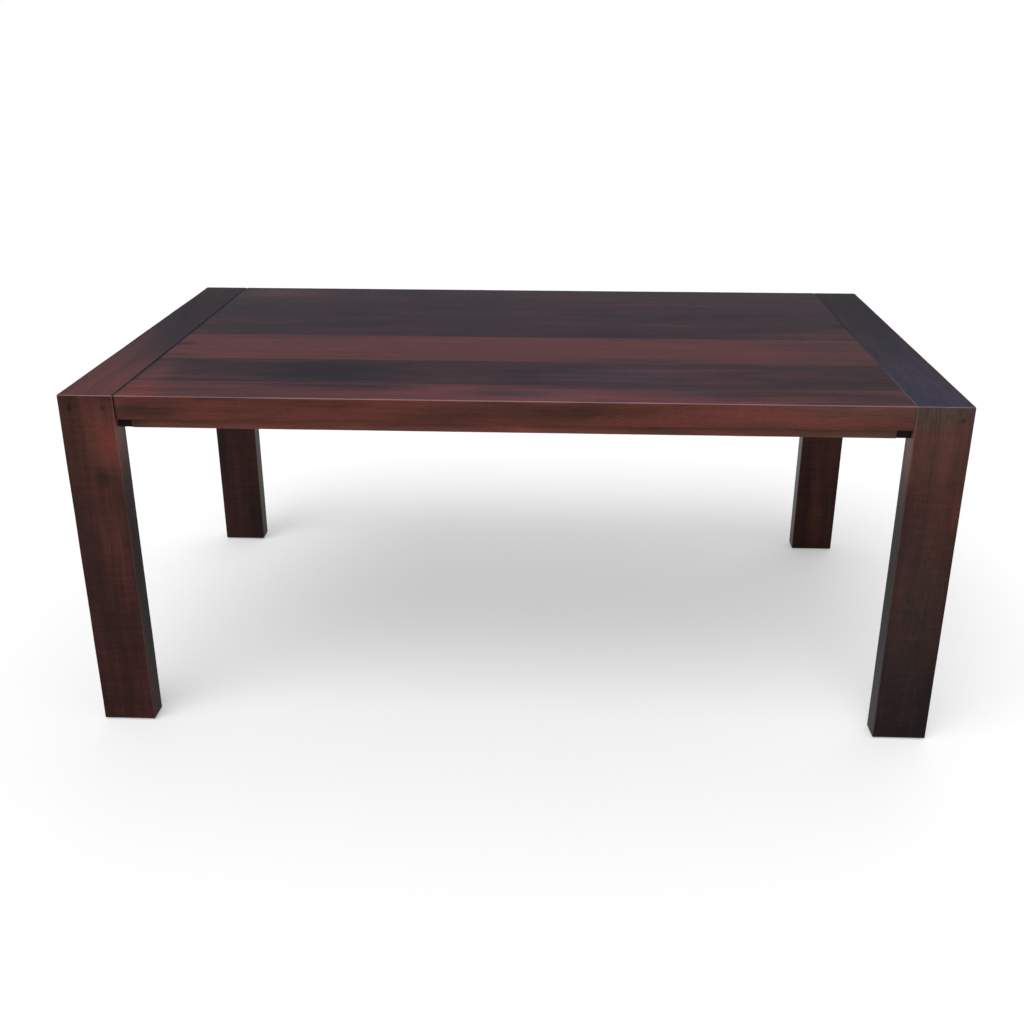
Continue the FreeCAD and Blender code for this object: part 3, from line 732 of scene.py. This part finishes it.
def stained_hardwood(
    name, grain, shift, tone=None, figure=1.0, line=0.32, ribbon=0.09, tick=0.0, dull=0, drunk=0.75,
):
    """Dense dark hardwood, stained red-brown under a hand-rubbed lacquer.

    It shows blue-black and plum streaks along the grain, fine open pores and a soft sheen. The line is
    how strong the fine lines along the grain are, the ribbon the interlocked grain's bands across it,
    and the tick the short marks that planing has left across it. Dull is added to the roughness of an
    unpolished piece, and drunk is how far the end grain has taken up more stain. Without a tone, the
    piece's own tone attribute sets it, and a painted highlight and a painted reflection are mixed over it.
    """
    look = bpy.context.scene.table_finish
    material, tree, surface = new_material(name)
    where = add(tree, "ShaderNodeTexCoord", {})
    turned = add(tree, "ShaderNodeMapping", {
        "Vector": where.outputs["Object"], "Rotation": GRAIN_TURN[grain], "Location": shift,
    }).outputs[0]

    # The grain wanders slowly, by up to about 25 mm
    slow = add(tree, "ShaderNodeMapping", {"Vector": turned, "Scale": per_mm(420, 160)})
    slow = add(tree, "ShaderNodeTexNoise", {"Vector": slow.outputs[0], "Scale": 1.0, "Detail": 3.0})
    centred = add(tree, "ShaderNodeVectorMath", {
        0: slow.outputs["Color"], 1: (0.5, 0.5, 0.5),
    }, operation="SUBTRACT")
    wandering = add(tree, "ShaderNodeVectorMath", {
        0: centred.outputs[0], 1: (0.0, 0.05, 0.05), 2: turned,
    }, operation="MULTIPLY_ADD").outputs[0]

    # Each mark lightens or darkens the tone about its middle
    marks = grain_marks(tree, wandering, WOOD_MARKS)
    total = tone
    if tone is None:
        total = add(tree, "ShaderNodeAttribute", {}, attribute_name="tone_and_painted_light").outputs["Fac"]
    amounts = {
        "cloud": 0.4 * figure, "streak": 0.8 * figure, "line": line * figure, "band": ribbon, "tick": tick,
    }
    for mark, amount in amounts.items():
        off_middle = add(tree, "ShaderNodeMath", {0: marks[mark], 1: 0.5}, operation="SUBTRACT")
        total = add(tree, "ShaderNodeMath", {
            0: off_middle.outputs[0], 1: amount, 2: total,
        }, operation="MULTIPLY_ADD").outputs[0]
    ramp = add(tree, "ShaderNodeValToRGB", {"Fac": total})
    tints = (look.darkest, look.dark, look.middle, look.light, look.lightest)
    set_stops(ramp, [(i / (len(tints) - 1), tint) for i, tint in enumerate(tints)])

    pore = add(tree, "ShaderNodeMapRange", {
        "Value": marks["pore"], "From Min": 0.58, "From Max": 0.72, "To Max": PORE_STAIN,
    }).outputs[0]
    # Across its ends the wood drinks more stain
    facing = add(tree, "ShaderNodeSeparateXYZ", {"Vector": where.outputs["Normal"]})
    across_end = add(tree, "ShaderNodeMath", {0: facing.outputs[grain]}, operation="ABSOLUTE")
    end_grain = add(tree, "ShaderNodeMapRange", {
        "Value": across_end.outputs[0], "From Min": 0.8, "From Max": 1.0, "To Max": drunk,
    }).outputs[0]
    stained = ramp.outputs["Color"]
    for cover in (pore, end_grain):
        stained = add(tree, "ShaderNodeMix", {
            0: cover, MIX_A: stained, MIX_B: (*look.darkest, 1),
        }, data_type="RGBA").outputs[MIX_RESULT]
    if tone is None:
        stained = paint_highlight_and_reflection(tree, marks, facing.outputs[Z], stained)

    # Pores and fine lines lie up to a tenth of a millimetre deep
    relief = add(tree, "ShaderNodeMath", {
        0: marks["line"], 1: 0.4, 2: pore,
    }, operation="MULTIPLY_ADD")
    bump = add(tree, "ShaderNodeBump", {
        "Height": relief.outputs[0], "Strength": 0.2, "Distance": 0.0001,
    }, invert=True)
    # The underside is left dull from the brush
    underside = add(tree, "ShaderNodeMapRange", {
        "Value": facing.outputs[Z], "From Min": -0.5, "From Max": -1.0,
        "To Min": look.lacquer_roughness + dull, "To Max": UNDERSIDE_ROUGHNESS,
    })
    gloss = add(tree, "ShaderNodeMath", {
        0: pore, 1: PORE_ROUGHNESS, 2: underside.outputs[0],
    }, operation="MULTIPLY_ADD")
    shader = add(tree, "ShaderNodeBsdfPrincipled", {
        "Base Color": stained, "Roughness": gloss.outputs[0],
        "Normal": bump.outputs[0], "IOR": 1.5, "Specular IOR Level": look.lacquer_reflection,
    })
    tree.links.new(shader.outputs[0], surface)
    return material


def planed_beech(name, grain):
    """Planed beech: pale straw brown and matt, with short darker flecks along the grain.

    The flecks are drawn about four times their real width, so that they show.
    """
    material, tree, surface = new_material(name)
    where = add(tree, "ShaderNodeTexCoord", {})
    turned = add(tree, "ShaderNodeMapping", {
        "Vector": where.outputs["Object"], "Rotation": GRAIN_TURN[grain],
    })
    marks = grain_marks(tree, turned.outputs[0], {"ring": (220, 7, 2.0), "fleck": (4, 0.9, 1.0)})
    ground = add(tree, "ShaderNodeMix", {
        0: marks["ring"], MIX_A: linear("c9a173"), MIX_B: linear("dcb98c"),
    }, data_type="RGBA")
    fleck = add(tree, "ShaderNodeMapRange", {
        "Value": marks["fleck"], "From Min": 0.6, "From Max": 0.7,
    })
    flecked = add(tree, "ShaderNodeMix", {
        0: fleck.outputs[0], MIX_A: ground.outputs[MIX_RESULT], MIX_B: linear("9a6f45"),
    }, data_type="RGBA")
    bump = add(tree, "ShaderNodeBump", {
        "Height": marks["ring"], "Strength": 0.3, "Distance": 0.0002,
    })
    shader = add(tree, "ShaderNodeBsdfPrincipled", {
        "Base Color": flecked.outputs[MIX_RESULT], "Roughness": 0.65, "Normal": bump.outputs[0],
    })
    tree.links.new(shader.outputs[0], surface)
    return material


def plated_metal(name, bright, dull, roughness):
    """Plated or turned metal: bright, with faint dull blotches a few millimetres across."""
    material, tree, surface = new_material(name)
    where = add(tree, "ShaderNodeTexCoord", {})
    marks = grain_marks(tree, where.outputs["Object"], {"blotch": (3, 3, 2.0)})
    plating = add(tree, "ShaderNodeMix", {
        0: marks["blotch"], MIX_A: linear(bright), MIX_B: linear(dull),
    }, data_type="RGBA")
    rough = add(tree, "ShaderNodeMath", {
        0: marks["blotch"], 1: 0.2, 2: roughness,
    }, operation="MULTIPLY_ADD")
    shader = add(tree, "ShaderNodeBsdfPrincipled", {
        "Base Color": plating.outputs[MIX_RESULT], "Metallic": 1.0, "Roughness": rough.outputs[0],
    })
    tree.links.new(shader.outputs[0], surface)
    return material


def moulded_nylon(name):
    """Moulded nylon, dark brown: an even satin skin with a very fine grain.

    The grain is drawn about four times its real width, so that it shows.
    """
    material, tree, surface = new_material(name)
    where = add(tree, "ShaderNodeTexCoord", {})
    marks = grain_marks(tree, where.outputs["Object"], {"skin": (0.8, 0.8, 2.0)})
    bump = add(tree, "ShaderNodeBump", {
        "Height": marks["skin"], "Strength": 0.2, "Distance": 0.0001,
    })
    skin = add(tree, "ShaderNodeMix", {
        0: marks["skin"], MIX_A: linear("241d1a"), MIX_B: linear("2e2622"),
    }, data_type="RGBA")
    shader = add(tree, "ShaderNodeBsdfPrincipled", {
        "Base Color": skin.outputs[MIX_RESULT], "Roughness": 0.45, "IOR": 1.53, "Normal": bump.outputs[0],
    })
    tree.links.new(shader.outputs[0], surface)
    return material


def dress(nodes, material):
    """Gives carried-over nodes a material."""
    for node in nodes:
        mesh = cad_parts[node].data
        mesh.materials.clear()
        mesh.materials.append(material)


def nodes_named(*starts):
    """The nodes whose names start with one of these."""
    return [node for node in sorted(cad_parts) if node.startswith(starts)]


# ---- Operators

class TABLE_OT_legs(bpy.types.Operator):
    """Makes the four legs, mitred at the top and eased at the foot"""
    bl_idname = "table.legs"
    bl_label = "Legs"

    def execute(self, context):
        arris = context.scene.table_boards.arris
        for seed, (side, end) in enumerate(LEGS, 10):
            node = "leg_%s_%s" % (side, end)
            low, high = corners(node)
            high[Z] = TOP_Z
            outer = TABLE_LOW[Y] if side == "front" else TABLE_HIGH[Y]
            mitre = {"axis": Y, "outer": outer, "slope": TOP_THICKNESS / LEG_DEPTH, "ends": (0, 1)}
            add_board(
                node, Z, X, (arris, arris, arris), "stained_end_frame", seed,
                low=low, high=high, mitre=mitre, line=0.08, ribbon=0.2, tick=0.16,
            )
        return {"FINISHED"}


class TABLE_OT_headers(bpy.types.Operator):
    """Makes the boards across the table's two ends, mitred to the legs"""
    bl_idname = "table.headers"
    bl_label = "Headers"

    def execute(self, context):
        sizes = context.scene.table_boards
        arris, seam = sizes.arris, sizes.seam_arris
        radii = {"left": (arris, seam, arris), "right": (seam, arris, arris)}
        for seed, end in enumerate(ENDS, 20):
            node = "header_" + end
            low, high = corners(node)
            low[Y], high[Y] = TABLE_LOW[Y], TABLE_HIGH[Y]
            mitre = {"axis": Z, "outer": TOP_Z, "slope": LEG_DEPTH / TOP_THICKNESS, "ends": (1, 1)}
            add_board(
                node, Y, X, radii[end], "stained_end_frame", seed,
                low=low, high=high, mitre=mitre,
            )
        return {"FINISHED"}


class TABLE_OT_field(bpy.types.Operator):
    """Makes the boards that run between the two end frames"""
    bl_idname = "table.field"
    bl_label = "Field boards"

    def execute(self, context):
        sizes = context.scene.table_boards
        arris, joint, seam = sizes.arris, sizes.joint_arris, sizes.seam_arris
        boards = {"front_edge_board": (arris, joint, seam)}
        boards.update({board: (joint, joint, seam) for board in FIELD_BOARDS})
        boards["back_edge_board"] = (joint, arris, seam)
        for seed, (node, radii) in enumerate(boards.items(), 30):
            add_board(node, X, Y, radii, "stained_top_board", seed)
        return {"FINISHED"}


class TABLE_OT_skirts(bpy.types.Operator):
    """Makes the strips under the long edges"""
    bl_idname = "table.skirts"
    bl_label = "Skirt strips"

    def execute(self, context):
        seam = context.scene.table_boards.seam_arris
        for seed, side in enumerate(SIDES, 40):
            add_board("skirt_strip_" + side, X, Y, (seam, seam, seam), "stained_under_frame", seed)
        return {"FINISHED"}


OUTER_DOWEL_DARKER = 0.16               # the outer dowels' tone under the leg's
OUTER_DOWEL_REFLECTION = 0.4                  # their painted reflection as a share of the leg's


class TABLE_OT_dowels(bpy.types.Operator):
    """Makes the dowels through the top corners, with slightly crowned ends, the outer ones darker"""
    bl_idname = "table.dowels"
    bl_label = "Corner dowels"

    def execute(self, context):
        look = context.scene.table_finish
        material = stained_hardwood("stained_hardwood_dowel_end", Y, shift=(1.3, 0.4, 2.1), drunk=0.2)
        for side, end in LEGS:
            node = "corner_dowels_%s_%s" % (side, end)
            low, high = corners(node)
            radius = (high[Z] - low[Z]) / 2
            outer, inner = (low[Y], high[Y]) if side == "front" else (high[Y], low[Y])
            away = -1 if side == "front" else 1
            # The crown falls off with the square of the way out to the rim
            reach = np.linspace(0, 1, 6)
            crown = [(radius * r, outer + away * look.dowel_crown * (1 - r * r)) for r in reach]
            profile = crown + [(radius, inner), (0, inner)]
            shells = [
                turned_profile(profile, (x, 0, (low[Z] + high[Z]) / 2), Y, DOWEL_SIDES)
                for x in (low[X] + radius, high[X] - radius)
            ]
            middle = abs(low[X] + high[X]) / 2
            leg = "leg_%s_%s" % (side, end)
            leg_tone, leg_reflection = tone_and_painted_light_of(leg), painted_reflection_of(leg)
            tones = {
                "tone_and_painted_light": lambda points: leg_tone(points) - OUTER_DOWEL_DARKER * (abs(points[:, X]) > middle),
                "painted_reflection": lambda points: leg_reflection(points) * np.where(
                    abs(points[:, X]) > middle, OUTER_DOWEL_REFLECTION, 1,
                ),
            }
            piece = solid_piece("dowels_%s_%s" % (side, end), shells, tones)
            piece.data.materials.append(material)
            place(piece, "stained_dowel", node)
        return {"FINISHED"}


class TABLE_OT_under_frame(bpy.types.Operator):
    """Finishes the bearers, cleats, battens, tongues and splines"""
    bl_idname = "table.under_frame"
    bl_label = "Under frame"

    def execute(self, context):
        crosswise = stained_hardwood(
            "stained_hardwood_crosswise", Y, shift=(2.2, 1.1, 0.7), tone=0.3, dull=0.4,
        )
        dress(nodes_named("end_cleat", "cross_batten"), crosswise)
        # Its tone is close to the darkest heartwood, darker than the cleats', so that its end in the notch
        # beside each leg reads near black: partly dark end-grain stain and partly painted shade
        bearer = stained_hardwood(
            "stained_hardwood_bearer", Y, shift=(0.2, 1.9, 3.7), tone=0.1, dull=0.4, drunk=0.5,
        )
        dress(nodes_named("end_bearer"), bearer)
        dress(nodes_named("board_tongue"), planed_beech("planed_beech_lengthwise", X))
        dress(nodes_named("seam_tongue", "mitre_spline"), planed_beech("planed_beech_crosswise", Y))
        return {"FINISHED"}


class TABLE_OT_hardware(bpy.types.Operator):
    """Finishes the screws, bolts, inserts and glides"""
    bl_idname = "table.hardware"
    bl_label = "Hardware"

    def execute(self, context):
        zinc = plated_metal("zinc_plated_steel", "c3c6c9", "9a9da1", 0.3)
        dress(nodes_named("slotted_screws", "skirt_screws", "bearer_screws", "frame_bolt"), zinc)
        dress(nodes_named("threaded_inserts"), plated_metal("turned_brass", "d1ab62", "a98648", 0.25))
        dress(nodes_named("foot_glide"), moulded_nylon("moulded_nylon"))
        return {"FINISHED"}


class TABLE_OT_stage(bpy.types.Operator):
    """Sets the floor, the lamps, the studio's walls and the camera"""
    bl_idname = "table.stage"
    bl_label = "Studio"

    def execute(self, context):
        scene = context.scene
        stage = scene.table_stage
        scene.view_settings.view_transform = "Standard"
        lay_floor(stage)
        light_studio(scene, stage)
        aim_camera(scene, stage)
        return {"FINISHED"}


def floor_paint(stage):
    """Matt floor paint, nearly white, on which the table's shadow stays soft and pale.

    The camera, reflections and glass see it partly as plain white, and the light it throws back is the
    paint's.
    """
    material, tree, surface = new_material("matt_floor_paint")
    paint = add(tree, "ShaderNodeBsdfDiffuse", {"Color": (*stage.floor, 1)})
    white = add(tree, "ShaderNodeEmission", {"Color": (1, 1, 1, 1), "Strength": 1.0})
    path = add(tree, "ShaderNodeLightPath", {}).outputs
    seen = add(tree, "ShaderNodeMath", {0: path["Is Camera Ray"], 1: path["Is Glossy Ray"]}, operation="ADD")
    seen = add(tree, "ShaderNodeMath", {
        0: seen.outputs[0], 1: path["Is Transmission Ray"],
    }, operation="ADD", use_clamp=True)
    glow = add(tree, "ShaderNodeMath", {0: seen.outputs[0], 1: stage.floor_glow}, operation="MULTIPLY")
    shader = add(tree, "ShaderNodeMixShader", {0: glow.outputs[0], 1: paint.outputs[0], 2: white.outputs[0]})
    tree.links.new(shader.outputs[0], surface)
    return material


def lay_floor(stage):
    """A pale painted floor, a flat grid of squares wide enough to reach the horizon."""
    half, cells = 60.0, 8
    side = np.linspace(-half, half, cells + 1)
    across, back = np.meshgrid(side, side)
    points = np.stack([across.ravel(), back.ravel(), 0 * across.ravel()], 1)
    row, column = np.meshgrid(np.arange(cells), np.arange(cells), indexing="ij")
    corner = (row * len(side) + column).ravel()
    faces = np.stack([corner, corner + 1, corner + len(side) + 1, corner + len(side)], 1)
    mesh = bpy.data.meshes.new("studio_floor")
    mesh.from_pydata(points.tolist(), [], faces.tolist())
    floor = bpy.data.objects.new("studio_floor", mesh)
    bpy.context.scene.collection.objects.link(floor)
    mesh.materials.append(floor_paint(stage))
    floor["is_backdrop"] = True


def add_lamp(name, strength, height, turn, width):
    """A large lamp far away: its height above the horizon, its turn round the table and its width.

    All three are angles in degrees.
    """
    data = bpy.data.lights.new(name, "SUN")
    data.energy = strength
    data.angle = math.radians(width)
    lamp = bpy.data.objects.new(name, data)
    lamp.rotation_euler = (math.pi / 2 - math.radians(height), 0, math.radians(turn))
    bpy.context.scene.collection.objects.link(lamp)


# The colour of the studio's walls at heights above the horizon, given as the sine of their angle. They are
# white behind the table and grey higher up, where the top mirrors them
WALLS = (
    (0.15, (1.0, 1.0, 1.0)), (0.19, (0.20, 0.20, 0.215)), (0.30, (0.36, 0.36, 0.38)),
    (0.42, (0.42, 0.42, 0.43)), (0.62, (0.62, 0.62, 0.62)),
)


def light_studio(scene, stage):
    """A soft key from above the camera's left, a weaker lamp behind, and walls that pale to the horizon."""
    add_lamp("key", stage.key_strength, height=58, turn=-25, width=50)
    add_lamp("back", stage.back_strength, height=50, turn=160, width=50)
    scene.world = bpy.data.worlds.new("studio_walls")
    scene.world.use_nodes = True
    tree = scene.world.node_tree
    tree.nodes.clear()
    where = add(tree, "ShaderNodeTexCoord", {})
    height = add(tree, "ShaderNodeSeparateXYZ", {"Vector": where.outputs["Generated"]})
    ramp = add(tree, "ShaderNodeValToRGB", {"Fac": height.outputs[Z]})
    set_stops(ramp, WALLS)
    light = add(tree, "ShaderNodeBackground", {"Color": ramp.outputs["Color"], "Strength": 1.0})
    add(tree, "ShaderNodeOutputWorld", {"Surface": light.outputs[0]})


def aim_camera(scene, stage):
    """A camera that stands before the table and looks down on it."""
    data = bpy.data.cameras.new("camera")
    data.sensor_width = SENSOR_WIDTH
    data.lens = stage.focal_pixels / IMAGE_WIDTH * SENSOR_WIDTH
    camera = bpy.data.objects.new("camera", data)
    camera.location = stage.camera_place
    camera.rotation_euler = (math.pi / 2 - stage.camera_tilt, 0, stage.camera_turn)
    scene.collection.objects.link(camera)
    scene.camera = camera


STEPS = [
    TABLE_OT_legs, TABLE_OT_headers, TABLE_OT_field, TABLE_OT_skirts, TABLE_OT_dowels,
    TABLE_OT_under_frame, TABLE_OT_hardware, TABLE_OT_stage,
]


class TABLE_PT_steps(bpy.types.Panel):
    """Lists the table's settings and the steps that make it"""
    bl_idname = "TABLE_PT_steps"
    bl_label = "Parsons table"
    bl_space_type = "VIEW_3D"
    bl_region_type = "UI"
    bl_category = "Table"

    def draw(self, context):
        scene = context.scene
        for settings in (scene.table_boards, scene.table_finish, scene.table_stage):
            box = self.layout.box()
            for name in settings.bl_rna.properties.keys():
                if name not in ("rna_type", "name"):
                    box.prop(settings, name)
        for step in STEPS:
            self.layout.operator(step.bl_idname)


SETTINGS = {
    "table_boards": TABLE_PG_boards, "table_finish": TABLE_PG_finish, "table_stage": TABLE_PG_stage,
}
CLASSES = [*SETTINGS.values(), *STEPS, TABLE_PT_steps]


def register():
    """Adds the classes, and the table's settings to every scene."""
    for kind in CLASSES:
        bpy.utils.register_class(kind)
    for name, kind in SETTINGS.items():
        setattr(bpy.types.Scene, name, bpy.props.PointerProperty(type=kind))


def unregister():
    """Takes away the settings and the classes."""
    for name in SETTINGS:
        delattr(bpy.types.Scene, name)
    for kind in reversed(CLASSES):
        bpy.utils.unregister_class(kind)


def write_sizes():
    """Gathers the frame's box and the finished model's box as lists of corners, without writing them."""
    boxes = {"cad": CAD_BOUNDS, "visual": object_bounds()}
    boxes = {name: [list(corner) for corner in box] for name, box in boxes.items()}


def main():
    """Makes the whole table, one step after another, and its studio."""
    register()
    for step in STEPS:
        group, name = step.bl_idname.split(".")
        getattr(getattr(bpy.ops, group), name)()
    write_sizes()


if __name__ == "__main__":
    main()
